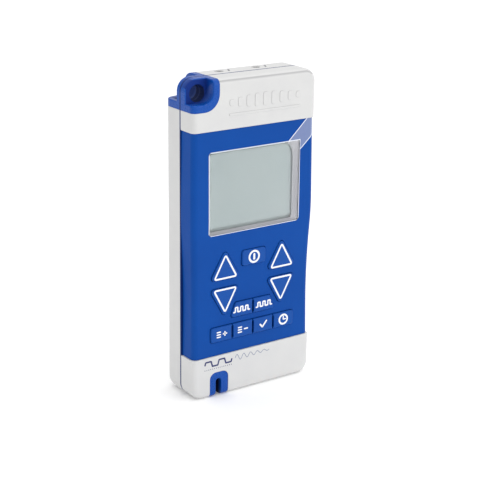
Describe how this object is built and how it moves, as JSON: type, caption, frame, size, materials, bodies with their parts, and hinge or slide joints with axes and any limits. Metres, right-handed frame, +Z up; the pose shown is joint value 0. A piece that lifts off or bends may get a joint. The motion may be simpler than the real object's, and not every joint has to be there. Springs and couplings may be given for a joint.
{
  "type": "tens unit",
  "caption": "Slim handheld nerve and muscle stimulator with a display, raised keys, a lanyard eye, a strap slot, lead sockets and a sliding battery door.",
  "frame": {"origin": "centre of the bounding box of the foot, on the surface the unit stands on", "axes": "+Z up towards the lead sockets and the lanyard eye; -Y the way the keys and the display face; +X to the right of a person who looks at the display"},
  "size_m": [0.0606, 0.0226, 0.136],
  "materials": {
    "silver_shell": "fine satin grain",
    "blue_cover": "soft-touch, low sheen",
    "blue_trim": "satin",
    "blue_gasket": "matt",
    "key_blue": "soft-touch, low sheen",
    "clear_window": "clear moulded",
    "lcd_glass": "matt polariser",
    "reflector_film": "satin film",
    "pale_frame": "satin",
    "label_film": "satin film",
    "screw_steel": "bright",
    "grey_rubber": "matt",
    "board_laminate": "solder mask",
    "flex_film": "satin film",
    "black_package": "moulded",
    "bright_can": "bright",
    "capacitor_sleeve": "sleeved",
    "ferrite": "sintered",
    "winding": "taped winding",
    "socket_plastic": "moulded",
    "contact_metal": "plated",
    "spring_wire": "plated",
    "cell_jacket": "printed jacket"
  },
  "bodies": {
    "case": {"front_shell": "silver_shell", "rear_shell": "silver_shell", "front_cover": "blue_cover", "display_window": "clear_window", "seam_gasket": "blue_gasket", "front_lanyard_eye": "blue_trim", "rear_lanyard_eye": "blue_trim", "strap_slot_insert": "blue_trim", "case_screws": "screw_steel", "rating_label": "label_film", "key_mat": "grey_rubber", "lcd_frame": "pale_frame", "lcd_glass": "lcd_glass", "lcd_reflector": "reflector_film", "lcd_contact_strip": "grey_rubber", "main_board": "board_laminate", "key_board": "board_laminate", "board_link_flex": "flex_film", "processor": "black_package", "crystal_can": "bright_can", "storage_capacitors": "capacitor_sleeve", "buzzer": "black_package", "output_drivers": "black_package", "boost_inductor": "ferrite", "left_transformer_core": "ferrite", "right_transformer_core": "ferrite", "left_transformer_coil": "winding", "right_transformer_coil": "winding", "left_output_socket": "socket_plastic", "right_output_socket": "socket_plastic", "socket_contacts": "contact_metal", "left_cell": "cell_jacket", "right_cell": "cell_jacket", "link_contact_plate": "contact_metal", "positive_contact_plate": "contact_metal", "negative_contact_plate": "contact_metal", "left_cell_spring": "spring_wire", "right_cell_spring": "spring_wire"},
    "left_up_key": {"left_up_key": "key_blue"},
    "left_down_key": {"left_down_key": "key_blue"},
    "right_up_key": {"right_up_key": "key_blue"},
    "right_down_key": {"right_down_key": "key_blue"},
    "power_key": {"power_key": "key_blue"},
    "auto_left_key": {"auto_left_key": "key_blue"},
    "auto_right_key": {"auto_right_key": "key_blue"},
    "program_up_key": {"program_up_key": "key_blue"},
    "program_down_key": {"program_down_key": "key_blue"},
    "set_key": {"set_key": "key_blue"},
    "timer_key": {"timer_key": "key_blue"},
    "battery_door": {"battery_door": "silver_shell"}
  },
  "joints": [
    {"name": "left_up_key_press", "type": "slide", "parent": "case", "child": "left_up_key", "axis": [0, 1, 0], "range_m": [0, 0.0005], "stiffness_N_per_m": 1500, "springref_m": -0.0003},
    {"name": "left_down_key_press", "type": "slide", "parent": "case", "child": "left_down_key", "axis": [0, 1, 0], "range_m": [0, 0.0005], "stiffness_N_per_m": 1500, "springref_m": -0.0003},
    {"name": "right_up_key_press", "type": "slide", "parent": "case", "child": "right_up_key", "axis": [0, 1, 0], "range_m": [0, 0.0005], "stiffness_N_per_m": 1500, "springref_m": -0.0003},
    {"name": "right_down_key_press", "type": "slide", "parent": "case", "child": "right_down_key", "axis": [0, 1, 0], "range_m": [0, 0.0005], "stiffness_N_per_m": 1500, "springref_m": -0.0003},
    {"name": "power_key_press", "type": "slide", "parent": "case", "child": "power_key", "axis": [0, 1, 0], "range_m": [0, 0.0005], "stiffness_N_per_m": 1500, "springref_m": -0.0003},
    {"name": "auto_left_key_press", "type": "slide", "parent": "case", "child": "auto_left_key", "axis": [0, 1, 0], "range_m": [0, 0.0005], "stiffness_N_per_m": 1500, "springref_m": -0.0003},
    {"name": "auto_right_key_press", "type": "slide", "parent": "case", "child": "auto_right_key", "axis": [0, 1, 0], "range_m": [0, 0.0005], "stiffness_N_per_m": 1500, "springref_m": -0.0003},
    {"name": "program_up_key_press", "type": "slide", "parent": "case", "child": "program_up_key", "axis": [0, 1, 0], "range_m": [0, 0.0005], "stiffness_N_per_m": 1500, "springref_m": -0.0003},
    {"name": "program_down_key_press", "type": "slide", "parent": "case", "child": "program_down_key", "axis": [0, 1, 0], "range_m": [0, 0.0005], "stiffness_N_per_m": 1500, "springref_m": -0.0003},
    {"name": "set_key_press", "type": "slide", "parent": "case", "child": "set_key", "axis": [0, 1, 0], "range_m": [0, 0.0005], "stiffness_N_per_m": 1500, "springref_m": -0.0003},
    {"name": "timer_key_press", "type": "slide", "parent": "case", "child": "timer_key", "axis": [0, 1, 0], "range_m": [0, 0.0005], "stiffness_N_per_m": 1500, "springref_m": -0.0003},
    {"name": "battery_door_slide", "type": "slide", "parent": "case", "child": "battery_door", "axis": [0, 0, -1], "range_m": [0, 0.07]}
  ]
}
